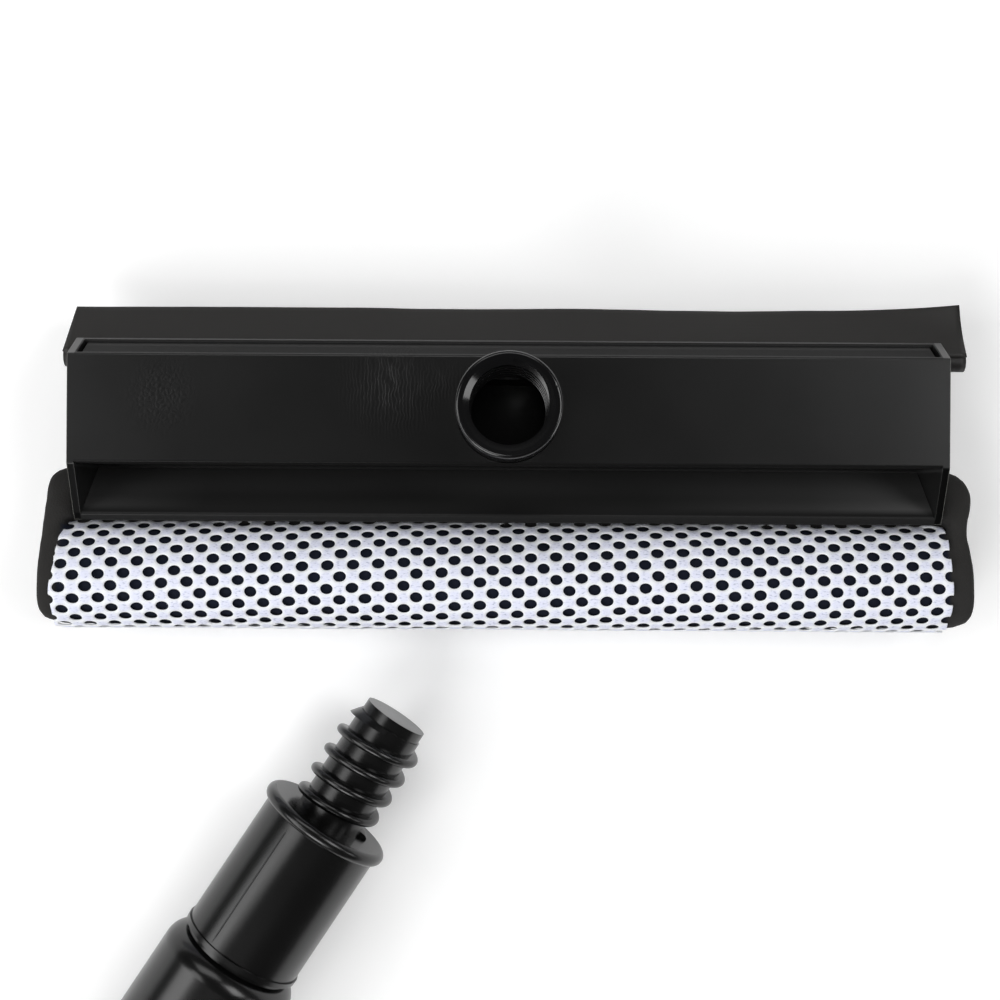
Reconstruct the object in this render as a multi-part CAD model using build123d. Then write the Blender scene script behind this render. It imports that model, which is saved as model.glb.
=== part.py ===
from build123d import *
import os
from math import cos, hypot, radians, sin

os.makedirs("parts", exist_ok=True)

# A window scrubber head, squeegee rubber on one side and meshed sponge on the other, with its
# telescopic pole lying unscrewed beside it. Millimetres. X runs along the rubber, Y from the sponge
# to the rubber, and Z out of the pole socket. The origin is where the socket's threaded wall begins.

# Head frame
frame_length = 187.0
plate_width = 23.2
plate_thickness = 2.2
wall = 2.0
end_wall = 1.6
frame_depth = 24.2
cover_thickness = 1.8
edge_round = 0.6
slip_gap = 0.05

# Tray along the sloping face between the plate and the rubber
tray_drop = 7.4
tray_reach = 4.05
tray_wall = 2.4
pocket_depth = 0.5
pocket_rim = 0.8
pocket_end = 1.9
notch_width = 0.8

# Recess between the plate and the sponge, and the wall that carries the sponge
recess_lift = 5.2
recess_foot = 0.6
recess_mouth = 10.6
rim_drop = 5.4
holder_wall = 1.8

# Squeegee rubber: a lip with a ridge at its root and a round bead that slides in the frame
rubber_overhang = 4.65
rubber_slip = 1.3
ridge_reach = 1.2
ridge_drop = 8.1
lip_reach = 10.85
lip_fall = 7.7
lip_root = 2.2
lip_edge = 1.5
bead_radius = 2.2
bead_back = 0.9
bead_sink = 2.8
channel_gap = 0.35
bead_gap = 0.55
jaw_height = 1.6
jaw_thickness = 1.5
jaw_back = 1.5

# Pole socket: a glossy threaded bush set from behind through the plate
socket_height = 20.5
socket_radius = 10.8
socket_base_radius = 11.0
socket_lip_round = 0.8
lead_in = 1.1
lead_in_radius = 9.2
plate_hole_gap = 0.1
flange_thickness = 2.0
flange_gap = 0.3
flange_screw_reach = 17.0
flange_end_radius = 4.2
boss_radius = 3.2
socket_boss_height = 3.0

# Coarse pole thread, 19.05 mm over its crests with five turns to the inch
thread_pitch = 5.08
thread_major_radius = 9.525
thread_root_radius = 7.5
thread_root_width = 2.4
thread_crest_width = 2.0
thread_bead_drop = 1.0
socket_bore_radius = 7.95
thread_clearance = 0.225
groove_root_width = 2.5
groove_crest_width = 2.0
thread_sink = 0.4

# Self-tapping screws of the head
screw_radius = 1.5
screw_head_radius = 2.7
screw_head_height = 0.9
screw_clearance = 0.2
socket_screw_length = 6.0
cover_screw_length = 11.0
screw_seat_gap = 0.05
cover_screw_inset = 11.5
cover_screw_socket_gap = 9.6
cover_boss_radius = 3.1
screw_cover_skin = 0.8
screw_tip_gap = 0.8

# Scrub pad
pad_overhang = 6.5
board_thickness = 1.6
board_inset = 2.0
board_foot_gap = 0.58
board_end_gap = 3.5
foam_gap = 0.5
foam_clearance = 1.2
mesh_overhang = 2.5
mesh_thickness = 0.6
nose_reach = 35.0
crown_reach = 25.9
crown_drop = 4.1
nose_drop = 14.2
sole_reach = 26.9
pad_edge_reach = 13.0
pad_edge_drop = 13.0
pad_edge_seat = 5.0
mesh_tuck_reach = 8.4
shoulder_rise = 2.5
shoulder_drop = 13.0
shoulder_bevel = 2.5
pad_end_round = 2.4
pad_corner_round = 4.0

# Pole, laid on its side on the same table, its tip pointing at the head
pole_heading = 56.6
tip_x = -24.0
tip_y = -66.3
pilot_radius = 7.2
pilot_length = 2.4
thread_start_taper = 3.2
thread_length = 26.5
tip_core_radius = 4.5
tip_core_start = 7.0
collar_radius = 14.9
collar_thickness = 2.9
collar_round = 1.4
sleeve_radius = 13.5
sleeve_length = 31.5
sleeve_lip = 0.35
sleeve_lip_length = 1.1
tube_seat = 1.3

inner_tube_radius = 11.0
inner_tube_wall = 1.0
inner_tube_length = 340.0
outer_tube_radius = 12.5
outer_tube_wall = 1.0

nut_radius = 15.6
nut_length = 35.0
nut_gap = 0.3
nut_neck_radius = 12.6
nut_neck_length = 0.9
nut_shoulder = 4.2
nut_mouth_radius = 11.4
nut_mouth_depth = 4.4
nut_wall = 1.35
nut_cone_length = 7.0
nut_tail_round = 0.6

collet_bore_radius = 11.06
collet_nose_radius = 12.7
collet_base_radius = 13.5
collet_nose_gap = 0.5
collet_gap = 0.05
collet_slot_width = 1.2
collet_slots = 6
collet_slot_share = 0.65
ferrule_lip = 5.0
ferrule_step_gap = 0.4
ferrule_tail_gap = 0.4
ferrule_tail_length = 14.0
ferrule_tail_radius = 15.0
ferrule_tail_round = 1.5
running_gap = 0.05
rivet_radius = 1.6
rivet_head_radius = 2.6
rivet_head_height = 0.5

bush_length = 12.0
bush_plug_length = 14.0
bush_bore_radius = 6.0
bush_cap_gap = 5.3

grip_length = 118.0
grip_end_gap = 2.0
grip_round = 1.6
grip_ring_count = 14
grip_ring_width = 2.4
grip_ring_depth = 0.8
grip_bare_share = 0.12

cap_length = 15.0
cap_radius = 15.0
cap_round = 2.5
cap_plug_length = 20.0
eye_length = 20.0
eye_thickness = 7.0
eye_width = 18.0
eye_hole_radius = 4.0

overrun = 1.0

# Heights and edges that several pieces share
plate_z = lead_in - socket_height
half_plate = plate_width / 2
table_z = plate_z - frame_depth - cover_thickness
frame_end = frame_length / 2
recess_depth = frame_depth - recess_lift
rubber_length = frame_length + 2 * rubber_overhang
pad_length = frame_length + 2 * pad_overhang
mesh_length = frame_length + 2 * mesh_overhang
board_length = frame_length - 2 * board_end_gap
flange_reach = flange_screw_reach + flange_end_radius
cover_screw_inner = flange_reach + cover_boss_radius + cover_screw_socket_gap
cover_screw_reaches = (frame_end - cover_screw_inset, cover_screw_inner)


def section(points):
    """A closed outline of (Y, height above the plate's face) points, standing across X."""
    return Plane.YZ * Pos(0, plate_z) * make_face(Polyline(*points, close=True))


def strip(start, end, thickness):
    """A straight wall from start to end, as thick as given on the right-hand side."""
    run, rise = end[0] - start[0], end[1] - start[1]
    size = hypot(run, rise)
    side = (rise / size * thickness, -run / size * thickness)
    far = [(end[0] + side[0], end[1] + side[1]), (start[0] + side[0], start[1] + side[1])]
    return section([start, end] + far)


def bar(face, length):
    """An outline across X drawn out to both sides of the middle."""
    return extrude(face, length / 2, dir=(1, 0, 0), both=True)


def along(start, end, distance, side=0.0):
    """The point that lies a distance from start towards end, and a step to the right of that line."""
    size = hypot(end[0] - start[0], end[1] - start[1])
    run, rise = (end[0] - start[0]) / size, (end[1] - start[1]) / size
    return (start[0] + run * distance + rise * side, start[1] + rise * distance - run * side)


def round_along_x(face, point, radius):
    """The outline with the corner nearest to the point rounded."""
    corner = face.vertices().sort_by_distance((0, point[0], plate_z + point[1]))[0]
    return fillet(corner, radius)


def turned(points):
    """A solid of revolution about local Z from a closed (radius, height) outline."""
    return revolve(Plane.XZ * make_face(Polyline(*points, close=True)), Axis.Z)


def tube(outer, inner, start, length):
    """A plain tube about local Z."""
    return turned([(inner, start), (outer, start), (outer, start + length), (inner, start + length)])


def rod(radius, start, length):
    """A plain round bar about local Z."""
    return Pos(0, 0, start) * Cylinder(radius, length, align=(Align.CENTER, Align.CENTER, Align.MIN))


def thread_ridge(root, crest, root_width, crest_width, start, length, bead_drop=0.0):
    """One unbroken helical ridge about local Z, sunk below its root; its crest is flat or a round bead."""
    path = Helix(pitch=thread_pitch, height=length, radius=root)
    across = Plane(origin=path @ 0, x_dir=(1, 0, 0), z_dir=path % 0)
    shoulder = crest - root - bead_drop
    sides = Polyline(
        (shoulder, crest_width / 2),
        (-thread_sink, root_width / 2),
        (-thread_sink, -root_width / 2),
        (shoulder, -crest_width / 2),
    )
    if bead_drop:
        top = ThreePointArc((shoulder, -crest_width / 2), (crest - root, 0), (shoulder, crest_width / 2))
    else:
        top = Line((shoulder, -crest_width / 2), (shoulder, crest_width / 2))
    outline = make_face([sides, top])
    return Pos(0, 0, start) * sweep(across * outline, path=path, is_frenet=True)


def rounded(solid, height, radius):
    """The solid with its outermost circular edge at a height rounded."""
    ring = solid.edges().filter_by(GeomType.CIRCLE).filter_by_position(Axis.Z, height, height)
    return fillet(ring.sort_by(SortBy.RADIUS)[-1], radius)


# Outline points of the head's section, as (Y, height above the plate's face)
plate_top = (half_plate, 0)
plate_foot = (-half_plate, 0)
tray_rear = (half_plate + tray_reach, -tray_drop)
recess_bottom = (-half_plate - recess_foot, -recess_depth)
recess_rim = (-half_plate - recess_mouth, -rim_drop)
holder_top = along(recess_rim, recess_bottom, 0, holder_wall)
holder_size = hypot(recess_mouth - recess_foot, recess_depth - rim_drop)
holder_foot = along(recess_rim, recess_bottom, holder_size, holder_wall)
board_width = holder_size - board_inset - board_foot_gap
ridge = (half_plate + ridge_reach, -ridge_drop)
lip_end = (ridge[0] + lip_reach, ridge[1] - lip_fall)
bead = (ridge[0] - bead_back, ridge[1] - bead_sink)
web_face = bead[0] - bead_radius - bead_gap
ledge_top = bead[1] - bead_radius - bead_gap
ledge_end = lip_end[0] - lip_reach + jaw_back + jaw_thickness / 2


def rubber_section(gap=0.0):
    """The rubber's outline, or with a gap the channel it slides in: lip, ridge and round bead."""
    size = hypot(lip_reach, lip_fall)
    crest = along(ridge, lip_end, -gap, -gap)
    heel = along(ridge, lip_end, -gap, lip_root + gap)
    lip_tip = [along(ridge, lip_end, size + gap, -gap), along(ridge, lip_end, size + gap, lip_edge + gap)]
    radius = bead_radius + gap
    lip = section([crest] + lip_tip + [heel])
    root = section([crest, heel, (bead[0], bead[1] - radius), (bead[0] - radius, bead[1])])
    round_bead = Plane.YZ * Pos(bead[0], plate_z + bead[1]) * Circle(radius)
    return lip + root + round_bead


def squeegee_rubber():
    """The rubber, pushed a little to one side in its channel."""
    return Pos(rubber_slip, 0, 0) * bar(rubber_section(), rubber_length)


def frame_section():
    """The frame's constant section: plate, tray wall, recess walls and the bead's channel."""
    plate = strip(plate_foot, plate_top, plate_thickness)
    tray = strip(plate_top, tray_rear, tray_wall)
    near_wall = strip((-half_plate, -frame_depth), plate_foot, wall)
    floor = section([
        (-half_plate + wall, -recess_depth),
        recess_bottom,
        holder_foot,
        (holder_foot[0], -recess_depth - wall),
        (-half_plate + wall, -recess_depth - wall),
    ])
    holder = strip(recess_rim, recess_bottom, holder_wall)
    web = strip((web_face - wall, -frame_depth), (web_face - wall, -plate_thickness), wall)
    ledge = section([
        (web_face, ledge_top),
        (ledge_end, ledge_top),
        (ledge_end, ledge_top - wall),
        (web_face, ledge_top - wall),
    ])
    jaw = section([
        (ledge_end, ledge_top - wall),
        (ledge_end, ledge_top + jaw_height),
        (ledge_end - jaw_thickness, ledge_top + jaw_height),
        (ledge_end - jaw_thickness, ledge_top - wall),
    ])
    face = plate + tray + near_wall + floor + holder + web + ledge + jaw
    for corner in (plate_top, plate_foot, recess_rim):
        face = round_along_x(face, corner, edge_round)
    return face


def end_plate_section():
    """The outline that closes each end of the frame, except for the rubber's channel."""
    face = section([
        plate_foot,
        plate_top,
        tray_rear,
        (tray_rear[0], ledge_top + jaw_height),
        (ledge_end, ledge_top - wall),
        (web_face, ledge_top - wall),
        (web_face, -frame_depth),
        (-half_plate, -frame_depth),
        (-half_plate, holder_foot[1] - wall),
        holder_foot,
        holder_top,
        recess_rim,
    ])
    for corner in (plate_top, plate_foot, recess_rim):
        face = round_along_x(face, corner, edge_round)
    return face


def cover_screw_places():
    """The X and Y of each back cover screw, midway between the frame's two long walls."""
    middle = (web_face - wall - half_plate + wall) / 2
    return [(side * reach, middle) for reach in cover_screw_reaches for side in (-1, 1)]


def flange_top():
    return plate_z - plate_thickness - socket_boss_height


def flange_bottom():
    return flange_top() - flange_thickness


def head_frame():
    """One moulding: the section along X, its end plates, tray pocket, screw bosses and holes."""
    shell = bar(frame_section(), frame_length)
    for side in (-1, 1):
        plate = extrude(end_plate_section(), end_wall, dir=(-side, 0, 0))
        shell += Pos(side * frame_end, 0, 0) * plate
    slope = hypot(tray_reach, tray_drop)
    pocket_start = along(plate_top, tray_rear, pocket_rim, -overrun)
    pocket_stop = along(plate_top, tray_rear, slope - pocket_rim, -overrun)
    pocket = strip(pocket_start, pocket_stop, pocket_depth + overrun)
    shell -= bar(pocket, frame_length - 2 * pocket_end)
    notch = extrude(strip(pocket_start, pocket_stop, tray_wall + 2 * overrun), notch_width, dir=(1, 0, 0))
    notch_x = frame_end - pocket_end - notch_width
    shell -= Pos(notch_x, 0, 0) * notch
    shell -= Pos(-notch_x - notch_width, 0, 0) * notch
    shell -= bar(rubber_section(channel_gap), frame_length + 2 * overrun)
    cover_boss = rod(cover_boss_radius, plate_z - frame_depth, frame_depth - plate_thickness / 2)
    for x, y in cover_screw_places():
        shell += Pos(x, y, 0) * cover_boss
    for side in (-1, 1):
        boss = rod(boss_radius, flange_top(), socket_boss_height + plate_thickness / 2)
        shell += Pos(side * flange_screw_reach, 0, 0) * boss
    shell -= rod(socket_base_radius + plate_hole_gap, flange_bottom(), socket_height)
    for x, y in cover_screw_places():
        depth = cover_screw_length - cover_thickness + screw_tip_gap
        shell -= Pos(x, y, 0) * rod(screw_radius + slip_gap, plate_z - frame_depth - overrun, depth + overrun)
    for side in (-1, 1):
        depth = socket_screw_length - flange_thickness + slip_gap
        hole = rod(screw_radius + slip_gap, flange_top() - overrun, depth + overrun)
        shell -= Pos(side * flange_screw_reach, 0, 0) * hole
    return shell


def pole_socket():
    """The threaded bush: a slightly tapered barrel with a rounded lip, and an oblong flange behind."""
    top = lead_in
    outline = [
        (socket_bore_radius, flange_bottom()),
        (socket_base_radius, flange_bottom()),
        (socket_base_radius, plate_z),
        (socket_radius, top),
        (lead_in_radius, top),
        (socket_bore_radius, 0),
    ]
    barrel = rounded(turned(outline), top, socket_lip_round)
    flange = extrude(SlotCenterToCenter(2 * flange_screw_reach, 2 * flange_end_radius), flange_thickness)
    flange_width = 2 * (web_face - wall - flange_gap)
    flange += extrude(Rectangle(2 * flange_screw_reach, flange_width), flange_thickness)
    flange -= Cylinder(socket_bore_radius, 4 * flange_thickness)
    bush = barrel + Pos(0, 0, flange_bottom()) * flange
    for side in (-1, 1):
        hole = rod(screw_radius + screw_clearance, flange_bottom() - overrun, flange_thickness + 2 * overrun)
        bush -= Pos(side * flange_screw_reach, 0, 0) * hole
    crest = thread_major_radius + thread_clearance
    start = flange_bottom() - thread_pitch
    length = -start
    groove = thread_ridge(socket_bore_radius, crest, groove_root_width, groove_crest_width, start, length)
    tap = rod(socket_bore_radius, start - overrun, length + 2 * overrun + thread_pitch) + groove
    return bush - tap


def screw(length):
    """A pan-head screw along local Z, the underside of its head at zero and its shank above."""
    shank = rod(screw_radius, -screw_head_height / 2, length - screw_radius / 2 + screw_head_height / 2)
    tip_start = length - screw_radius / 2
    tip = turned([(0, tip_start), (screw_radius, tip_start), (screw_radius / 2, length), (0, length)])
    head = rod(screw_head_radius, -screw_head_height, screw_head_height)
    return shank + tip + head


def socket_screws():
    one = Pos(0, 0, flange_bottom() - screw_seat_gap) * screw(socket_screw_length - screw_tip_gap)
    return [Pos(side * flange_screw_reach, 0, 0) * one for side in (-1, 1)]


def cover_seat():
    """The height of the face that a cover screw's head bears on."""
    return table_z + cover_thickness - screw_cover_skin


def cover_screws():
    one = Pos(0, 0, cover_seat() - screw_seat_gap) * screw(cover_screw_length - cover_thickness)
    return [Pos(x, y, 0) * one for x, y in cover_screw_places()]


def back_cover():
    """The flat plate that closes the back of the frame and rests on the table."""
    width = web_face + half_plate
    plate = Box(frame_length, width, cover_thickness, align=(Align.CENTER, Align.CENTER, Align.MIN))
    plate = fillet(plate.edges().filter_by(Axis.Z), edge_round)
    cover = Pos(0, (web_face - half_plate) / 2, table_z) * plate
    shank_room = rod(screw_radius + screw_clearance, table_z - overrun, cover_thickness + 2 * overrun)
    head_room = rod(screw_head_radius + screw_clearance, table_z - overrun, cover_seat() - table_z + overrun)
    for x, y in cover_screw_places():
        cover -= Pos(x, y, 0) * (shank_room + head_room)
    return cover


def pad_board():
    """The stiff strip behind the sponge, flat against the recess wall."""
    start = along(holder_top, holder_foot, board_inset)
    stop = along(holder_top, holder_foot, board_inset + board_width)
    return bar(strip(start, stop, board_thickness), board_length)


# Outline points of the scrub pad's section
foam_sole = -frame_depth - cover_thickness + mesh_thickness
pad_edge = (-half_plate - pad_edge_reach, -pad_edge_drop)
pad_crown = (-half_plate - crown_reach, -crown_drop)
pad_nose = (-half_plate - nose_reach, -nose_drop)
pad_sole = (-half_plate - sole_reach, foam_sole)
pad_seat_top = along(holder_top, holder_foot, pad_edge_seat, board_thickness)
pad_seat_foot = along(holder_top, holder_foot, board_inset + board_width, board_thickness)
pad_back = -half_plate - foam_gap
pad_shoulder = (holder_top[0] + foam_gap, -rim_drop - shoulder_rise)


def nose_curves():
    """The sponge's crown and nose as three tangent arcs, from the tucked edge to the sole."""
    crown = TangentArc(pad_crown, pad_edge, tangent=(1, 0))
    nose = TangentArc(pad_crown, pad_nose, tangent=(-1, 0))
    under = TangentArc(pad_nose, pad_sole, tangent=(0, -1))
    return [crown, nose, under]


def foam_section():
    """The sponge's section behind the frame: a D whose back lies on the pad board."""
    back = Polyline(
        pad_sole,
        (pad_back, foam_sole),
        (pad_back, -recess_depth - wall - foam_clearance),
        pad_seat_foot,
        pad_seat_top,
        pad_edge,
    )
    return Plane.YZ * Pos(0, plate_z) * make_face(nose_curves() + [back])


def shoulder_section():
    """The fuller back of the sponge where it swells past the ends of the frame."""
    return section([
        (pad_back, foam_sole),
        (pad_back, -shoulder_drop),
        (pad_back - shoulder_bevel, -shoulder_drop + shoulder_bevel),
        pad_shoulder,
        (pad_shoulder[0], foam_sole),
    ])


def bare_section():
    """What fills the groove behind the crown at the sponge's bare ends, past the net."""
    return section([
        pad_crown,
        pad_shoulder,
        (pad_shoulder[0], foam_sole),
        (pad_crown[0], foam_sole),
    ])


def scrub_foam():
    """The sponge: its section along X, a fuller end past each end plate, and rounded ends."""
    foam = bar(foam_section(), pad_length)
    start = frame_end + foam_gap
    depth = pad_length / 2 - start
    bare_start = mesh_length / 2 + foam_gap
    bare = pad_length / 2 - bare_start
    for side in (-1, 1):
        foam += Pos(side * start, 0, 0) * extrude(shoulder_section(), depth, dir=(side, 0, 0))
        foam += Pos(side * bare_start, 0, 0) * extrude(bare_section(), bare, dir=(side, 0, 0))
    width = pad_back - pad_nose[0]
    height = pad_crown[1] - foam_sole
    middle = Pos(0, pad_nose[0] + width / 2, plate_z + foam_sole + height / 2)
    from_above = extrude(RectangleRounded(pad_length, width, pad_corner_round), height, both=True)
    from_front = extrude(Plane.XZ * RectangleRounded(pad_length, height, pad_end_round), width, both=True)
    return foam & (middle * from_above) & (middle * from_front)


def mesh_cover():
    """The stretched net over the crown and nose, as a plain skin with its true thickness."""
    skin = offset(foam_section(), mesh_thickness) - foam_section()
    tuck = pad_edge[0]
    sole_stop = -half_plate - mesh_tuck_reach
    beyond = pad_nose[0] - nose_reach
    low = foam_sole - nose_drop
    keep = section([
        (beyond, 0),
        (tuck, 0),
        (tuck, pad_nose[1]),
        (sole_stop, pad_nose[1]),
        (sole_stop, low),
        (beyond, low),
    ])
    return bar(skin & keep, mesh_length)


# The pole is drawn along its own axis: Z from its tip to its hanging eye, X upwards from the table
heading = (cos(radians(pole_heading)), sin(radians(pole_heading)), 0)
pole_plane = Plane(
    origin=(tip_x, tip_y, table_z + nut_radius),
    x_dir=(0, 0, 1),
    z_dir=(-heading[0], -heading[1], 0),
)
sleeve_start = thread_length + collar_thickness
sleeve_end = sleeve_start + sleeve_length
tube_start = sleeve_start + tube_seat
tube_end = tube_start + inner_tube_length
nut_start = sleeve_end + nut_gap
nut_end = nut_start + nut_length
collet_start = nut_start + nut_mouth_depth + collet_nose_gap
ferrule_start = nut_start + nut_mouth_depth + nut_cone_length + ferrule_step_gap
outer_start = ferrule_start + ferrule_lip
outer_end = tube_end + bush_length + bush_cap_gap + cap_plug_length
outer_tube_length = outer_end - outer_start
ferrule_tail = nut_end + ferrule_tail_gap
ferrule_end = ferrule_tail + ferrule_tail_length
nut_bore_radius = nut_radius - nut_wall


def on_pole(solid):
    return pole_plane * solid


def radial(solid, place, turn):
    """A piece drawn along local Z, set pointing outwards across the pole at a place and a turn."""
    return Pos(0, 0, place) * Rot(0, 0, turn) * Rot(0, 90, 0) * solid


def threaded_tip():
    """The moulded tip: pilot, coarse thread, collar and the sleeve over the inner tube."""
    thread_end = thread_length + thread_sink
    ridge_solid = thread_ridge(
        thread_root_radius,
        thread_major_radius,
        thread_root_width,
        thread_crest_width,
        pilot_length,
        thread_length - pilot_length,
        thread_bead_drop,
    )
    taper = turned([
        (0, pilot_length),
        (thread_root_radius, pilot_length),
        (thread_major_radius + thread_sink, pilot_length + thread_start_taper),
        (thread_major_radius + thread_sink, thread_end),
        (0, thread_end),
    ])
    core = rod(thread_root_radius, pilot_length, thread_length - pilot_length + thread_sink)
    tip = rod(pilot_radius, 0, pilot_length + thread_sink) + core + (ridge_solid & taper)
    collar = rod(collar_radius, thread_length, collar_thickness)
    rims = collar.edges().filter_by(GeomType.CIRCLE)
    tip += fillet(rims, collar_round)
    tip += rod(sleeve_radius, thread_length + collar_thickness / 2, sleeve_length + collar_thickness / 2)
    tip += rod(sleeve_radius + sleeve_lip, sleeve_end - sleeve_lip_length, sleeve_lip_length)
    tip -= rod(inner_tube_radius + slip_gap, tube_start - slip_gap, sleeve_length)
    tip -= rod(tip_core_radius, tip_core_start, tube_start - tip_core_start)
    place = (tube_start + sleeve_end) / 2
    seat = rod(rivet_radius + slip_gap, inner_tube_radius / 2, sleeve_radius)
    pocket = rod(rivet_head_radius + slip_gap, sleeve_radius - rivet_head_height, sleeve_radius)
    return tip - radial(seat + pocket, place, 180)


def tip_rivet():
    """The rivet under the sleeve that holds the tip on the inner tube, its head flush."""
    place = (tube_start + sleeve_end) / 2
    end = sleeve_radius - slip_gap
    shank_start = inner_tube_radius - 2 * inner_tube_wall
    shank = rod(rivet_radius, shank_start, end - shank_start)
    head_start = sleeve_radius - rivet_head_height + slip_gap
    return radial(shank + rod(rivet_head_radius, head_start, end - head_start), place, 180)


def inner_tube():
    place = (tube_start + sleeve_end) / 2
    pipe = tube(inner_tube_radius, inner_tube_radius - inner_tube_wall, tube_start, inner_tube_length)
    return pipe - radial(rod(rivet_radius + slip_gap, inner_tube_radius / 2, inner_tube_radius), place, 180)


def guide_bush():
    """The bush on the tail of the inner tube, which runs in the outer tube and stops it pulling out."""
    bore = inner_tube_radius - inner_tube_wall - slip_gap
    collar_outer = outer_tube_radius - outer_tube_wall - running_gap
    plug = tube(bore, bush_bore_radius, tube_end - bush_plug_length, bush_plug_length + bush_length)
    return plug + tube(collar_outer, bush_bore_radius, tube_end, bush_length)


def lock_nut():
    """The twist nut: a neck against the sleeve, a rounded shoulder and a plain barrel."""
    shoulder_start = nut_start + nut_neck_length
    shoulder_end = shoulder_start + nut_shoulder
    face = make_face([
        Line((nut_mouth_radius, nut_start), (nut_neck_radius, nut_start)),
        Line((nut_neck_radius, nut_start), (nut_neck_radius, shoulder_start)),
        TangentArc((nut_radius, shoulder_end), (nut_neck_radius, shoulder_start), tangent=(0, -1)),
        Polyline(
            (nut_radius, shoulder_end),
            (nut_radius, nut_end),
            (nut_bore_radius, nut_end),
            (nut_bore_radius, nut_start + nut_mouth_depth + nut_cone_length),
            (collet_nose_radius + ferrule_step_gap, nut_start + nut_mouth_depth),
            (nut_mouth_radius, nut_start + nut_mouth_depth),
            (nut_mouth_radius, nut_start),
        ),
    ])
    return rounded(revolve(Plane.XZ * face, Axis.Z), nut_end, nut_tail_round)


def collet():
    """The split ring that the nut's cone squeezes onto the inner tube: one cut through, others part way."""
    end = ferrule_start - collet_gap
    ring = turned([
        (collet_bore_radius, collet_start),
        (collet_nose_radius, collet_start),
        (collet_base_radius, end),
        (collet_bore_radius, end),
    ])
    length = end - collet_start
    for index in range(collet_slots):
        depth = length + overrun if index == 0 else length * collet_slot_share
        slot = Box(
            collet_slot_width,
            collet_base_radius + overrun,
            depth + overrun,
            align=(Align.CENTER, Align.MIN, Align.MIN),
        )
        ring -= Rot(0, 0, index * 360 / collet_slots) * Pos(0, 0, collet_start - overrun) * slot
    return ring


def lock_ferrule():
    """The threaded body inside the nut and the tail collar, one moulding on the outer tube's end."""
    body_radius = nut_bore_radius - running_gap
    piece = turned([
        (collet_bore_radius, ferrule_start),
        (body_radius, ferrule_start),
        (body_radius, ferrule_tail),
        (ferrule_tail_radius, ferrule_tail),
        (ferrule_tail_radius, ferrule_end),
        (outer_tube_radius + slip_gap, ferrule_end),
        (outer_tube_radius + slip_gap, outer_start - slip_gap),
        (collet_bore_radius, outer_start - slip_gap),
    ])
    piece = rounded(piece, ferrule_end, ferrule_tail_round)
    place = (ferrule_tail + ferrule_end) / 2
    for turn in (90, 270):
        piece -= radial(rod(rivet_radius + slip_gap, outer_tube_radius / 2, ferrule_tail_radius), place, turn)
    return piece


def ferrule_rivets():
    """Two rivets through the ferrule's tail and the outer tube, their heads just proud."""
    place = (ferrule_tail + ferrule_end) / 2
    start = outer_tube_radius - outer_tube_wall
    shank = rod(rivet_radius, start, ferrule_tail_radius - start + rivet_head_height / 2)
    head = rod(rivet_head_radius, ferrule_tail_radius + slip_gap, rivet_head_height)
    return [radial(shank + head, place, turn) for turn in (90, 270)]


def outer_tube():
    place = (ferrule_tail + ferrule_end) / 2
    pipe = tube(outer_tube_radius, outer_tube_radius - outer_tube_wall, outer_start, outer_tube_length)
    for turn in (90, 270):
        pipe -= radial(rod(rivet_radius + slip_gap, outer_tube_radius / 2, outer_tube_radius), place, turn)
    return pipe


def grip():
    """The handle sleeve, with shallow rings moulded round its middle."""
    end = outer_end - grip_end_gap
    start = end - grip_length
    sleeve = tube(nut_radius, outer_tube_radius + slip_gap, start, grip_length)
    for height in (start, end):
        sleeve = rounded(sleeve, height, grip_round)
    bare = grip_length * grip_bare_share
    step = (grip_length - 2 * bare) / (grip_ring_count - 1)
    floor = nut_radius - grip_ring_depth
    for index in range(grip_ring_count):
        middle = start + bare + index * step
        sleeve -= tube(nut_radius + overrun, floor, middle - grip_ring_width / 2, grip_ring_width)
    return sleeve


def end_cap():
    """The plug, the closing head and the flat hanging eye."""
    head_start = outer_end + slip_gap
    head_end = head_start + cap_length
    plug_radius = outer_tube_radius - outer_tube_wall - slip_gap
    cap = rod(plug_radius, outer_end - cap_plug_length, cap_plug_length + slip_gap)
    cap += rounded(rod(cap_radius, head_start, cap_length), head_end, cap_round)
    eye_middle = head_end + eye_length - eye_width / 2
    eye = Box(
        eye_thickness,
        eye_width,
        eye_middle - head_end + cap_length / 2,
        align=(Align.CENTER, Align.CENTER, Align.MIN),
    )
    cap += Pos(0, 0, head_end - cap_length / 2) * eye
    disc = Rot(0, 90, 0) * Cylinder(eye_width / 2, eye_thickness)
    hole = Rot(0, 90, 0) * Cylinder(eye_hole_radius, eye_thickness + 2 * overrun)
    return cap + Pos(0, 0, eye_middle) * disc - Pos(0, 0, eye_middle) * hole


def save(name, pieces):
    """Write one node: a single solid, or a group of separate solids such as screws."""
    solids = pieces if isinstance(pieces, list) else [pieces]
    shape = Compound(children=solids) if len(solids) > 1 else solids[0]
    export_step(shape, "parts/" + name + ".step")


save("head_frame", head_frame())
save("pole_socket", pole_socket())
save("socket_screws", socket_screws())
save("back_cover", back_cover())
save("cover_screws", cover_screws())
save("squeegee_rubber", squeegee_rubber())
save("pad_board", pad_board())
save("scrub_foam", scrub_foam())
save("mesh_cover", mesh_cover())
save("threaded_tip", on_pole(threaded_tip()))
save("tip_rivet", on_pole(tip_rivet()))
save("inner_tube", on_pole(inner_tube()))
save("guide_bush", on_pole(guide_bush()))
save("lock_nut", on_pole(lock_nut()))
save("collet", on_pole(collet()))
save("lock_ferrule", on_pole(lock_ferrule()))
save("ferrule_rivets", [on_pole(rivet) for rivet in ferrule_rivets()])
save("outer_tube", on_pole(outer_tube()))
save("grip", on_pole(grip()))
save("end_cap", on_pole(end_cap()))
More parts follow.
